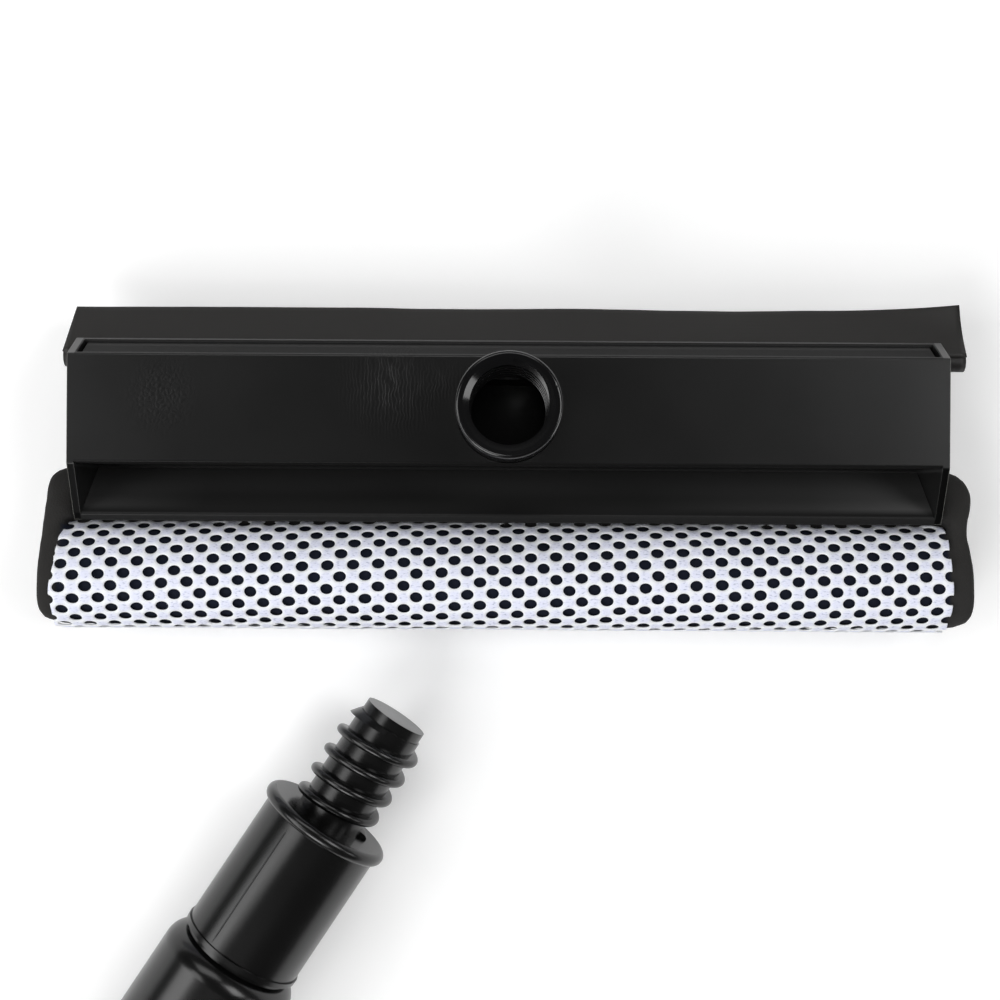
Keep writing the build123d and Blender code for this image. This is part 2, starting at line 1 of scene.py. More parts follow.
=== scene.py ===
import bmesh
import bpy
from math import atan2, cos, exp, hypot, pi, radians, sin
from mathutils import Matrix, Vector, noise


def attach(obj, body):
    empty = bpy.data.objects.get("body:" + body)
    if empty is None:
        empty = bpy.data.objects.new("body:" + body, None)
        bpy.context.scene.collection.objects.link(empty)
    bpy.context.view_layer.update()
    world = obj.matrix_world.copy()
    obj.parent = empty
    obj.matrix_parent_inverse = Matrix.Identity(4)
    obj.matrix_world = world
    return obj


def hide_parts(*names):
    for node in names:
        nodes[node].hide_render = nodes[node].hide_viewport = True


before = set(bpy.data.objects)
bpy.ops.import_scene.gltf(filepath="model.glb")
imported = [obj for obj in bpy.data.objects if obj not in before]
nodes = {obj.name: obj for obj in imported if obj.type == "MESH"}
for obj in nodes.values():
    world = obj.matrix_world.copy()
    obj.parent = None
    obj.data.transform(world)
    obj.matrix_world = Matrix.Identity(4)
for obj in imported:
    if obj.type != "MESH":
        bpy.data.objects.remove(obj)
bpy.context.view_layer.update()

# A window scrubber head on its back and its unscrewed telescopic pole beside it, on a white table.
# Metres, in the part's frame: X along the rubber, Y from sponge to rubber, Z out of the pole socket.
mm = 0.001

# Sizes of the part that the looks need again. Points of a section are (Y, height over the plate).
plate_z = -19.4 * mm
table_z = -45.4 * mm
pad_edge = (-24.6 * mm, -13.0 * mm)
pad_crown = (-37.5 * mm, -4.1 * mm)
pad_nose = (-46.6 * mm, -14.2 * mm)
pad_sole = (-38.5 * mm, -25.4 * mm)
mesh_sole_stop = -20.0 * mm
mesh_thickness = 0.6 * mm
pole_heading = radians(56.6)
pole_height = 15.6 * mm
tip_point = Vector((-24.0 * mm, -66.3 * mm, table_z + pole_height))
pole_away = Vector((-cos(pole_heading), -sin(pole_heading), 0))

# The net: oval holes in staggered rows that climb slightly to the right. hole_wide and hole_high are
# half an oval's size, and row_start is how far round the section the row numbered start_row begins.
hole_pitch = 5.454 * mm
hole_wide = 1.48 * mm
hole_high = 1.17 * mm
hole_start = -90.4 * mm
hole_corners = 16
row_pitch = 2.39 * mm
row_slant = -0.042
row_start = 9.81 * mm
start_row = 3
net_rows = range(-8, 32)
spare_columns = 4
# Each end of the net, left then right: its corner in the recess, how much it spreads from there, and
# how far it reaches
net_corners = (-96.4 * mm, 95.4 * mm)
net_spread = (-0.09, 0)
net_reach = (-98.1 * mm, 95.4 * mm)


def linear(code):
    """An sRGB hex colour as linear RGBA."""
    parts = [int(code[i:i + 2], 16) / 255 for i in (1, 3, 5)]
    return [p / 12.92 if p <= 0.04045 else ((p + 0.055) / 1.055) ** 2.4 for p in parts] + [1]


def add(tree, kind, settings=(), inputs=()):
    """One shader node with its settings, and its inputs as plain values or as sockets to link."""
    made = tree.nodes.new("ShaderNode" + kind)
    for name, value in dict(settings).items():
        setattr(made, name, value)
    for name, value in dict(inputs).items():
        if isinstance(value, bpy.types.NodeSocket):
            tree.links.new(value, made.inputs[name])
        else:
            made.inputs[name].default_value = value
    return made


def new_material(name):
    """An empty node material and its tree."""
    made = bpy.data.materials.new(name)
    made.use_nodes = True
    made.node_tree.nodes.clear()
    return made, made.node_tree


def banded(tree, place, bands):
    """A colour and a share of shine that change across Y, from (Y, colour, shine) stops."""
    low, high = -30 * mm, 30 * mm
    across = add(tree, "SeparateXYZ", inputs={"Vector": place}).outputs["Y"]
    share = add(tree, "MapRange", inputs={"Value": across, "From Min": low, "From Max": high})
    ramp = add(tree, "ValToRGB", inputs={"Fac": share.outputs["Result"]})
    stops = ramp.color_ramp.elements
    for y, code, shine in bands:
        stops.new((y - low) / (high - low)).color = linear(code)[:3] + [shine]
    stops[0].color = stops[1].color
    stops[len(stops) - 1].color = stops[len(stops) - 2].color
    return ramp.outputs


def spotted(tree, place, spots):
    """A mask of round spots on the plate: (X, Y, radius, share), full in the middle and faded around."""
    full_part = 0.3
    total = 0
    for x, y, radius, share in spots:
        gap = add(tree, "VectorMath", {"operation": "DISTANCE"}, {0: place, 1: (x, y, plate_z)})
        spot = add(tree, "MapRange", inputs={
            "Value": gap.outputs["Value"], "From Min": radius, "From Max": full_part * radius,
            "To Max": share,
        }).outputs["Result"]
        total = add(tree, "Math", {"operation": "ADD"}, {0: total, 1: spot}).outputs["Value"]
    return total


def moulded(name, colour, roughness, grain, depth, ior=1.5, stretch=(1, 1, 1), edge=0.0):
    """A moulded, extruded or coated surface: fine grain in relief, slow changes of polish, eased edges."""
    patch, patch_change = 22 * mm, 0.02
    noise_low, noise_high = 0.3, 0.7
    made, tree = new_material(name)
    place = add(tree, "TexCoord").outputs["Object"]
    run = add(tree, "Mapping", inputs={"Vector": place, "Scale": stretch}).outputs["Vector"]
    fine = add(tree, "TexNoise", inputs={"Vector": run, "Scale": 1 / grain, "Detail": 3}).outputs["Fac"]
    slow = add(tree, "TexNoise", inputs={"Vector": place, "Scale": 1 / patch, "Detail": 3}).outputs["Fac"]
    polish = add(tree, "MapRange", inputs={
        "Value": slow, "From Min": noise_low, "From Max": noise_high,
        "To Min": roughness - patch_change, "To Max": roughness + patch_change,
    }).outputs["Result"]
    relief = add(tree, "Bump", inputs={"Strength": 1, "Distance": depth, "Height": fine})
    if edge:
        eased = add(tree, "Bevel", {"samples": 6}, {"Radius": edge}).outputs["Normal"]
        tree.links.new(eased, relief.inputs["Normal"])
    shader = add(tree, "BsdfPrincipled", inputs={
        "Base Color": linear(colour), "Roughness": polish, "IOR": ior, "Normal": relief.outputs["Normal"],
    })
    add(tree, "OutputMaterial", inputs={"Surface": shader.outputs["BSDF"]})
    return made


# The frame between its end plates, as (Y, colour, share of shine): the recess from its front rim in,
# the plate, the tray and the tray's rim. The plate has the black's own colour; the recess and the tray
# are painted paler where they lie in shade: painted light, most in the recess under the plate's edge,
# and on the tray's floor by the foot of its step and on the step itself.
frame_tones_and_painted_light = [
    (-24.0 * mm, "#1C1C1C", 0.1),
    (-21.4 * mm, "#282828", 0.1),
    (-18.6 * mm, "#2D2D2D", 0.15),
    (-13.0 * mm, "#444444", 0.15),
    (-12.3 * mm, "#444444", 0.15),
    (-12.2 * mm, "#333333", 0.1),
    (-11.65 * mm, "#2A2A2A", 0.05),
    (-11.6 * mm, "#161616", 0.02),
    (-11.2 * mm, "#161616", 0.04),
    (-10.9 * mm, "#101010", 0.5),
    (11.58 * mm, "#101010", 0.5),
    (11.64 * mm, "#202020", 0.1),
    (11.98 * mm, "#202020", 0.1),
    (12.04 * mm, "#1D1D1D", 0.03),
    (13.6 * mm, "#1D1D1D", 0.03),
    (14.3 * mm, "#262626", 0.07),
    (14.76 * mm, "#262626", 0.07),
    (14.84 * mm, "#424242", 0.02),
    (15.16 * mm, "#424242", 0.02),
    (15.24 * mm, "#242424", 0.22),
]
# The same for the end plates: painted shade beside the recess, black like the plate in the middle,
# and a light grey painted highlight on their tops by the tray
end_tones_and_painted_light = [
    (-24.0 * mm, "#0C0C0C", 0.02),
    (-11.8 * mm, "#0C0C0C", 0.02),
    (-11.6 * mm, "#101010", 0.5),
    (11.8 * mm, "#101010", 0.5),
    (12.0 * mm, "#505050", 0.3),
    (16.0 * mm, "#505050", 0.3),
]
# Faint marks of the moulding on the plate, as (X, Y, radius, share)
ripple_spots = [(-25 * mm, 5.2 * mm, 13 * mm, 0.17), (-12.6 * mm, 6.4 * mm, 6 * mm, 0.09)]
crackle_spots = [(-73.2 * mm, 2.7 * mm, 9.5 * mm, 0.3)]
ripple_pitch = 0.75 * mm
crackle_size = 1.1 * mm
mark_depth = 0.2 * mm
# Blender's wave texture repeats after this length at a scale of 1
wave_length = 0.314


def frame_colour(tree, place):
    """The frame's colour with its painted light and shade, and its share of shine, by where a point lies."""
    flat = add(tree, "SeparateXYZ", inputs={"Vector": place}).outputs
    reach = add(tree, "Math", {"operation": "ABSOLUTE"}, {0: flat["X"]}).outputs["Value"]
    # each mask grows from nothing at a start to its share where it is full, in millimetres
    masks = {}
    for name, value, start, full, share in (
        ("ends", reach, 91.95, 92.1, 1),
        ("inner", reach, 91.7, 91.85, 1),
        ("outward", reach, 66, 88, 0.34),
        ("right", flat["X"], 30, 84, 0.5),
        ("recess", flat["Y"], -11.9, -12.4, 1),
        ("wall", flat["Y"], -21.6, -20.4, 1),
    ):
        masks[name] = add(tree, "MapRange", inputs={
            "Value": value, "From Min": start * mm, "From Max": full * mm, "To Max": share,
        }).outputs["Result"]
    # an edge is where the eased normal turns away from the face's own; where it stands free on the end
    # plates it gets a painted highlight
    eased = add(tree, "Bevel", {"samples": 4}, {"Radius": 0.3 * mm}).outputs["Normal"]
    face = add(tree, "NewGeometry").outputs["Normal"]
    same = add(tree, "VectorMath", {"operation": "DOT_PRODUCT"}, {0: face, 1: eased}).outputs["Value"]
    edge = add(tree, "MapRange", inputs={"Value": same, "From Min": 0.98, "From Max": 0.80})
    space = add(tree, "AmbientOcclusion", {"samples": 4}, {"Distance": 1.2 * mm}).outputs["AO"]
    free = add(tree, "MapRange", inputs={"Value": space, "From Min": 0.7, "From Max": 0.95})
    # the recess gets painted light toward its ends, the right one most, where the end plates shade it,
    # and the end plates' inner faces get a painted shade
    pale = add(tree, "Math", {"operation": "ADD"}, {0: masks["outward"], 1: masks["right"]})
    shares = {}
    for name, first, others in (
        ("pale", pale.outputs["Value"], [masks["recess"], masks["wall"]]),
        ("inner", masks["inner"], [masks["recess"]]),
        ("painted_edge_highlight", edge.outputs["Result"], [masks["ends"], free.outputs["Result"]]),
    ):
        for other in others:
            first = add(tree, "Math", {"operation": "MULTIPLY"}, {0: first, 1: other}).outputs["Value"]
        shares[name] = first
    between = banded(tree, place, frame_tones_and_painted_light)
    outer = banded(tree, place, end_tones_and_painted_light)
    tone = between["Color"]
    # over the bands go the painted light in the recess, the painted shade on the inner faces, the end plates'
    # bands, and the painted highlights on their free edges
    for share, colour in (
        (shares["pale"], linear("#5E5E5E")),
        (shares["inner"], linear("#202020")),
        (masks["ends"], outer["Color"]),
        (shares["painted_edge_highlight"], linear("#7C7C78")),
    ):
        tone = add(tree, "MixRGB", inputs={"Fac": share, "Color1": tone, "Color2": colour}).outputs["Color"]
    shine = add(tree, "MapRange", inputs={
        "Value": masks["ends"], "To Min": between["Alpha"], "To Max": outer["Alpha"],
    }).outputs["Result"]
    return tone, shine


def frame_marks(tree, place, normal):
    """Faint ripples of the mould beside the socket, and a crackled patch further left, over a normal."""
    ripple = add(tree, "TexWave", inputs={
        "Vector": place, "Scale": wave_length / ripple_pitch,
        "Distortion": 7, "Detail": 2, "Detail Scale": 1,
    }).outputs["Fac"]
    crackle = add(tree, "TexVoronoi", {"feature": "DISTANCE_TO_EDGE"}, {
        "Vector": place, "Scale": 1 / crackle_size,
    }).outputs["Distance"]
    ripples = add(tree, "Math", {"operation": "MULTIPLY"}, {
        0: ripple, 1: spotted(tree, place, ripple_spots),
    }).outputs["Value"]
    height = add(tree, "Math", {"operation": "MULTIPLY_ADD"}, {
        0: crackle, 1: spotted(tree, place, crackle_spots), 2: ripples,
    }).outputs["Value"]
    return add(tree, "Bump", inputs={
        "Strength": 1, "Distance": mark_depth, "Height": height, "Normal": normal,
    }).outputs["Normal"]


def frame_finish():
    """Black ABS: the plate fine and dark, recess and tray duller, with painted light, shade and edge
    highlights.
    """
    made = moulded("moulded_abs_matt", "#101010", 0.3, 0.35 * mm, 0.004 * mm, edge=0.12 * mm)
    tree = made.node_tree
    shader = next(node for node in tree.nodes if node.type == "BSDF_PRINCIPLED")
    place = add(tree, "TexCoord").outputs["Object"]
    tone, shine = frame_colour(tree, place)
    marks = frame_marks(tree, place, shader.inputs["Normal"].links[0].from_socket)
    tree.links.new(tone, shader.inputs["Base Color"])
    tree.links.new(shine, shader.inputs["Specular IOR Level"])
    tree.links.new(marks, shader.inputs["Normal"])
    return made


def metal(name, colour, roughness, grain, depth):
    """A drawn, plated or cut metal: tiny marks in relief that also change its polish."""
    least, most = 0.7 * roughness, 1.3 * roughness
    made, tree = new_material(name)
    place = add(tree, "TexCoord").outputs["Object"]
    fine = add(tree, "TexNoise", inputs={"Vector": place, "Scale": 1 / grain, "Detail": 4}).outputs["Fac"]
    polish = add(tree, "MapRange", inputs={"Value": fine, "To Min": least, "To Max": most})
    relief = add(tree, "Bump", inputs={"Strength": 1, "Distance": depth, "Height": fine})
    shader = add(tree, "BsdfPrincipled", inputs={
        "Base Color": linear(colour), "Metallic": 1,
        "Roughness": polish.outputs["Result"], "Normal": relief.outputs["Normal"],
    })
    add(tree, "OutputMaterial", inputs={"Surface": shader.outputs["BSDF"]})
    return made


def sponge_foam():
    """Open-celled polyurethane foam, quite matt: grey-black where bare, a painted blue-black shade under the
    net.
    """
    cell, clump, clump_share, depth = 0.4 * mm, 3 * mm, 1.2, 0.05 * mm
    net_middle = -0.9 * mm
    made, tree = new_material("polyurethane_foam")
    place = add(tree, "TexCoord").outputs["Object"]
    cells = add(tree, "TexVoronoi", inputs={"Vector": place, "Scale": 1 / cell}).outputs["Distance"]
    clumps = add(tree, "TexNoise", inputs={"Vector": place, "Scale": 1 / clump, "Detail": 4}).outputs["Fac"]
    height = add(tree, "Math", {"operation": "MULTIPLY_ADD"}, {0: clumps, 1: clump_share, 2: cells})
    relief = add(tree, "Bump", inputs={
        "Strength": 1, "Distance": depth, "Height": height.outputs["Value"],
    }).outputs["Normal"]
    # bare past the net's ends, and above its tucked edge
    flat = add(tree, "SeparateXYZ", inputs={"Vector": place}).outputs
    middle = add(tree, "Math", {"operation": "SUBTRACT"}, {0: flat["X"], 1: net_middle}).outputs["Value"]
    reach = add(tree, "Math", {"operation": "ABSOLUTE"}, {0: middle}).outputs["Value"]
    past = add(tree, "MapRange", inputs={
        "Value": reach, "From Min": 95.6 * mm, "From Max": 96.4 * mm,
    }).outputs["Result"]
    above = add(tree, "MapRange", inputs={
        "Value": flat["Y"], "From Min": -25.2 * mm, "From Max": -24.4 * mm,
    }).outputs["Result"]
    bare = add(tree, "Math", {"operation": "MAXIMUM"}, {0: past, 1: above}).outputs["Value"]
    # under the net the foam is painted a blue-black shade, tinted by light off the white yarn
    tone = add(tree, "MixRGB", inputs={"Fac": bare, "Color1": linear("#0E1424"), "Color2": linear("#292827")})
    shader = add(tree, "BsdfPrincipled", inputs={
        "Base Color": tone.outputs["Color"], "Roughness": 0.95, "IOR": 1.4, "Normal": relief,
    })
    add(tree, "OutputMaterial", inputs={"Surface": shader.outputs["BSDF"]})
    return made


def knitted_net():
    """White knitted polyester: soft and matt, bright at the holes' rims, lavender and flecked between."""
    # the cloth's own places are in millimetres, and so are its flecks, the shadows between stitches
    fleck_long, fleck_high, depth = 0.8, 0.3, 0.05 * mm
    made, tree = new_material("knitted_polyester")
    place = add(tree, "UVMap", {"uv_map": "cloth"}).outputs["UV"]
    flat = add(tree, "SeparateXYZ", inputs={"Vector": place}).outputs
    level = add(tree, "Math", {"operation": "MULTIPLY_ADD"}, {0: flat["X"], 1: -row_slant, 2: flat["Y"]})
    # the product of two cosines is 1 at the middle of each hole and -1 between four holes
    near = 1
    for value, step, first in (
        (flat["X"], hole_pitch, hole_start),
        (level.outputs["Value"], 2 * row_pitch, row_start - row_slant * hole_start - start_row * row_pitch),
    ):
        angle = add(tree, "Math", {"operation": "MULTIPLY_ADD"}, {
            0: value, 1: 2 * pi * mm / step, 2: -2 * pi * first / step,
        }).outputs["Value"]
        turn = add(tree, "Math", {"operation": "COSINE"}, {0: angle}).outputs["Value"]
        near = add(tree, "Math", {"operation": "MULTIPLY"}, {0: near, 1: turn}).outputs["Value"]
    gap = add(tree, "MapRange", inputs={"Value": near, "From Min": 0.0, "From Max": -0.7}).outputs["Result"]
    run = add(tree, "Mapping", inputs={"Vector": place, "Scale": (1 / fleck_long, 1 / fleck_high, 1)})
    courses = add(tree, "TexNoise", inputs={
        "Vector": run.outputs["Vector"], "Scale": 1, "Detail": 2,
    }).outputs["Fac"]
    dark = add(tree, "MapRange", inputs={"Value": courses, "From Min": 0.54, "From Max": 0.72})
    fleck = add(tree, "Math", {"operation": "MULTIPLY"}, {0: dark.outputs["Result"], 1: gap})
    tone = linear("#F9FBFF")
    for share, colour in ((gap, "#EBEEFF"), (fleck.outputs["Value"], "#B4BAD2")):
        tone = add(tree, "MixRGB", inputs={
            "Fac": share, "Color1": tone, "Color2": linear(colour),
        }).outputs["Color"]
    relief = add(tree, "Bump", inputs={"Strength": 1, "Distance": depth, "Height": courses})
    shader = add(tree, "BsdfPrincipled", inputs={
        "Base Color": tone, "Roughness": 0.85, "IOR": 1.45, "Sheen Weight": 0.2,
        "Normal": relief.outputs["Normal"],
    })
    add(tree, "OutputMaterial", inputs={"Surface": shader.outputs["BSDF"]})
    return made


# Moulded ABS with a fine spark grain: satin black, dull in the recess, with painted light and shade
# and painted highlights at the end plates' edges
frame_plastic = frame_finish()
# The same ABS from a polished mould: deep black with clear highlights
socket_plastic = moulded("moulded_abs_gloss", "#060607", 0.16, 1.5 * mm, 0.002 * mm)
# Extruded EPDM rubber: dull warm black with die lines along its length
blade_rubber = moulded("extruded_epdm", "#1A1816", 0.55, 0.5 * mm, 0.02 * mm, stretch=(0.03, 1, 1))
# Glass-filled nylon from a polished mould: glossy black, its highlights faintly uneven
tip_plastic = moulded("moulded_nylon_gloss", "#070707", 0.25, 2.0 * mm, 0.004 * mm)
# The same nylon in nut, ferrule and cap: a shorter unevenness that softens their highlights
nut_plastic = moulded("moulded_nylon_satin", "#080808", 0.24, 1.2 * mm, 0.004 * mm)
# Extruded polypropylene: a dark grey strip with drawn lines along its length
board_plastic = moulded("extruded_pp", "#2A2A2A", 0.5, 0.8 * mm, 0.01 * mm, stretch=(0.05, 1, 1))
# Turned acetal: mid grey, smooth and slightly waxy
bush_plastic = moulded("acetal", "#3E3E3E", 0.35, 0.8 * mm, 0.006 * mm, ior=1.48)
# Moulded thermoplastic rubber: a dry, dull black with a fine grain
grip_rubber = moulded("moulded_tpe", "#1D1D1D", 0.7, 0.35 * mm, 0.02 * mm)
# Powder-coated aluminium: black with fine orange peel and broad, dim highlights
coated_tube = moulded("powder_coat", "#121212", 0.42, 0.5 * mm, 0.012 * mm)
# Drawn aluminium: pale silver with soft, broad reflections
tube_metal = metal("drawn_aluminium", "#C9CACC", 0.28, 0.12 * mm, 0.003 * mm)
# Zinc-plated steel: a greyer silver with slightly mottled reflections
screw_metal = metal("zinc_plated_steel", "#B9BCC0", 0.3, 0.3 * mm, 0.004 * mm)

finishes = {
    "head_frame": (frame_plastic, "frame_plastic"),
    "back_cover": (frame_plastic, "cover_plastic"),
    "pole_socket": (socket_plastic, "socket_plastic"),
    "socket_screws": (screw_metal, "screw_steel"),
    "cover_screws": (screw_metal, "screw_steel"),
    "pad_board": (board_plastic, "board_plastic"),
    "threaded_tip": (tip_plastic, "tip_plastic"),
    "tip_rivet": (screw_metal, "rivet_steel"),
    "inner_tube": (tube_metal, "tube_aluminium"),
    "guide_bush": (bush_plastic, "bush_plastic"),
    "lock_nut": (nut_plastic, "nut_plastic"),
    "collet": (bush_plastic, "collet_plastic"),
    "lock_ferrule": (nut_plastic, "ferrule_plastic"),
    "ferrule_rivets": (screw_metal, "rivet_steel"),
    "outer_tube": (coated_tube, "coated_tube"),
    "grip": (grip_rubber, "grip_rubber"),
    "end_cap": (nut_plastic, "cap_plastic"),
}
for name, (finish, slot) in finishes.items():
    piece = nodes[name]
    piece.data.materials.clear()
    piece.data.materials.append(finish)


def new_mesh(name, points, faces):
    """A mesh from its points and faces."""
    data = bpy.data.meshes.new(name)
    data.from_pydata(points, [], faces)
    data.validate()
    return data


def new_piece(name, data, finish, body):
    """A smooth piece made of a mesh in the part's frame, riding on its body."""
    data.polygons.foreach_set("use_smooth", [True] * len(data.polygons))
    data.materials.clear()
    data.materials.append(finish)
    made = bpy.data.objects.new(name, data)
    bpy.context.scene.collection.objects.link(made)
    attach(made, body)
    return made


def drift(x, y, along, across, seed, size):
    """A smooth, irregular shift up to about a size, with waves of a length along and across."""
    return noise.noise(Vector((x / along, y / across, seed))) * size


def tangent_arc(start, end, tangent):
    """Points on the arc that leaves start along a direction and ends at end."""
    steps = 24
    normal = (-tangent[1], tangent[0])
    run, rise = end[0] - start[0], end[1] - start[1]
    reach = (run * run + rise * rise) / (2 * (run * normal[0] + rise * normal[1]))
    centre = (start[0] + reach * normal[0], start[1] + reach * normal[1])
    first = atan2(start[1] - centre[1], start[0] - centre[0])
    last = atan2(end[1] - centre[1], end[0] - centre[0])
    turn = 1 if reach > 0 else -1
    while (last - first) * turn < 0:
        last += 2 * pi * turn
    angles = [first + (last - first) * i / steps for i in range(steps + 1)]
    return [(centre[0] + abs(reach) * cos(a), centre[1] + abs(reach) * sin(a)) for a in angles]


def net_line():
    """The sponge's section under the net, from the tucked edge over crown and nose to the sole."""
    crown = tangent_arc(pad_crown, pad_edge, (1, 0))[::-1]
    nose = tangent_arc(pad_crown, pad_nose, (-1, 0))
    under = tangent_arc(pad_nose, pad_sole, (0, -1))
    return crown + nose[1:] + under[1:] + [(mesh_sole_stop, pad_sole[1])]


class Path:
    """A line of (Y, height) points read by distance along it, with its outward normal."""

    def __init__(self, points):
        self.points = points
        self.marks = [0.0]
        for a, b in zip(points, points[1:]):
            self.marks.append(self.marks[-1] + hypot(b[0] - a[0], b[1] - a[1]))
        self.length = self.marks[-1]

    def at(self, distance):
        """The point at a distance along the line, and the normal there."""
        index = 0
        while index < len(self.marks) - 2 and self.marks[index + 1] < distance:
            index += 1
        a, b = self.points[index], self.points[index + 1]
        size = self.marks[index + 1] - self.marks[index]
        share = (distance - self.marks[index]) / size
        normal = ((b[1] - a[1]) / size, -(b[0] - a[0]) / size)
        return a[0] + (b[0] - a[0]) * share, a[1] + (b[1] - a[1]) * share, normal


def flat_net(length):
    """The net before it is laid: one diamond of cloth round each oval hole, cut to its outline."""
    # the cloth rolls down into each hole, from a ring a little wider than it to its rim
    ring_wide, ring_high, ring_dip, rim_dip = 1.16, 1.18, -0.02 * mm, -0.13 * mm
    weld = 0.02 * mm
    diamond = [(1, 0), (0, 1), (-1, 0), (0, -1), (1, 0)]
    flat = bmesh.new()
    columns = int((net_reach[1] - net_reach[0]) / hole_pitch) + spare_columns
    for row in net_rows:
        for column in range(-spare_columns, columns):
            middle_x = hole_start + hole_pitch * (column + (row % 2) / 2)
            middle_s = row_start + row_pitch * (row - start_row) + row_slant * (middle_x - hole_start)
            if not -2 * row_pitch < middle_s < length + 2 * row_pitch:
                continue
            rim, ring, edge = [], [], []
            for corner in range(hole_corners):
                angle = 2 * pi * corner / hole_corners
                side = corner * 4 / hole_corners
                quarter, part = int(side), side - int(side)
                a, b = diamond[quarter], diamond[quarter + 1]
                outer_x = (a[0] + (b[0] - a[0]) * part) * hole_pitch / 2
                outer_s = (a[1] + (b[1] - a[1]) * part) * row_pitch + row_slant * outer_x
                inner_x, inner_s = hole_wide * cos(angle), hole_high * sin(angle)
                ring_x, ring_s = inner_x * ring_wide, inner_s * ring_high
                edge.append(flat.verts.new((middle_x + outer_x, middle_s + outer_s, 0)))
                ring.append(flat.verts.new((middle_x + ring_x, middle_s + ring_s, ring_dip)))
                rim.append(flat.verts.new((middle_x + inner_x, middle_s + inner_s, rim_dip)))
            for corner in range(hole_corners):
                after = (corner + 1) % hole_corners
                flat.faces.new((edge[corner], edge[after], ring[after], ring[corner]))
                flat.faces.new((ring[corner], ring[after], rim[after], rim[corner]))
    bmesh.ops.remove_doubles(flat, verts=flat.verts, dist=weld)
    cuts = [((0, 0, 0), (0, -1, 0)), ((0, length, 0), (0, 1, 0))]
    for side, corner, spread, reach in zip((-1, 1), net_corners, net_spread, net_reach):
        cuts.append(((corner, 0, 0), (side, -side * spread, 0)))
        cuts.append(((reach, 0, 0), (side, 0, 0)))
    for point, away in cuts:
        geometry = flat.verts[:] + flat.edges[:] + flat.faces[:]
        bmesh.ops.bisect_plane(flat, geom=geometry, plane_co=point, plane_no=away, clear_outer=True)
    return flat


def net():
    """The stretched net with its holes cut through, laid round the sponge from a flat cut."""
    end_start, end_length, table_gap = 90 * mm, 6 * mm, 0.35 * mm
    path = Path(net_line())
    flat = flat_net(path.length)
    layer = flat.loops.layers.uv.new("cloth")
    for face in flat.faces:
        for loop in face.loops:
            loop[layer].uv = (loop.vert.co.x / mm, loop.vert.co.y / mm)
    # the net lies a little out of true, most at its ends, and never dips into the table
    for vert in flat.verts:
        x, s, dip = vert.co
        wobble = drift(x, s, along=9 * mm, across=7 * mm, seed=3.1, size=0.22 * mm)
        pull = drift(x, s, along=11 * mm, across=6 * mm, seed=8.7, size=0.18 * mm)
        end_wave = drift(s, 0, along=5 * mm, across=1, seed=1.3 if x > 0 else 5.9, size=0.4 * mm)
        shift = wobble + end_wave * min(1, max(0, abs(x) - end_start) / end_length)
        y, z, normal = path.at(min(max(s + pull, 0), path.length))
        lift = mesh_thickness + dip
        height = max(plate_z + z + normal[1] * lift, table_z + table_gap)
        vert.co = (x + shift, y + normal[0] * lift, height)
    data = bpy.data.meshes.new("net")
    flat.to_mesh(data)
    flat.free()
    made = new_piece("net", data, knitted_net(), "head")
    thick = made.modifiers.new("yarn", "SOLIDIFY")
    thick.thickness = 0.3 * mm
    thick.offset = -1
    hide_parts("mesh_cover")


# The mould's parting line along the tip's sleeve
sleeve_radius = 13.5 * mm
parting_span = (29.8 * mm, 60.2 * mm)
parting_angle = radians(27)
parting_radius = 0.22 * mm


def parting_line():
    """A fine raised seam that the two mould halves left on the sleeve."""
    steps, arc = 40, 6
    # it is sunk in a little, flatter than round, and thin at its ends, from where it grows
    sunk, flatness = 0.08 * mm, 0.7
    end_share, growth = 0.3, 8
    side = Vector((-sin(pole_heading), cos(pole_heading), 0))
    up = Vector((0, 0, 1))
    out = up * cos(parting_angle) + side * sin(parting_angle)
    across = side * cos(parting_angle) - up * sin(parting_angle)
    points, faces = [], []
    for i in range(steps + 1):
        s = parting_span[0] + (parting_span[1] - parting_span[0]) * i / steps
        grown = parting_radius * min(1, end_share + growth * min(i, steps - i) / steps)
        for j in range(arc + 1):
            angle = pi * j / arc
            rise = sleeve_radius - sunk + grown * sin(angle) * flatness
            points.append(tip_point + pole_away * s + out * rise + across * grown * cos(angle))
    for i in range(steps):
        for j in range(arc):
            first = i * (arc + 1) + j
            faces.append((first, first + 1, first + arc + 2, first + arc + 1))
    data = new_mesh("parting_line", points, faces)
    new_piece("parting_line", data, tip_plastic, "pole_inner")


# The rubber's section: a lip that slopes away from the plate, on a round bead
lip_root = (12.8 * mm, -8.1 * mm)
lip_size = (10.85 * mm, -7.7 * mm)
lip_thick = (2.2 * mm, 1.5 * mm)
lip_steps = 10
lip_held = 2.6 * mm
bead = (11.9 * mm, -10.9 * mm)
bead_radius = 2.2 * mm
bead_steps = 20
bead_neck = 0.6 * mm
corner_ease = 0.35 * mm
# Along the rubber: its two ends, how much the left one is cut back at the lip, and the curl of the right
rubber_ends = (-96.85 * mm, 99.45 * mm)
rubber_stations = 150
rubber_cut = 1.0 * mm
curl_start = 68 * mm
curl_length = 29 * mm
curl_size = 2.0 * mm
curl_most = 1.4


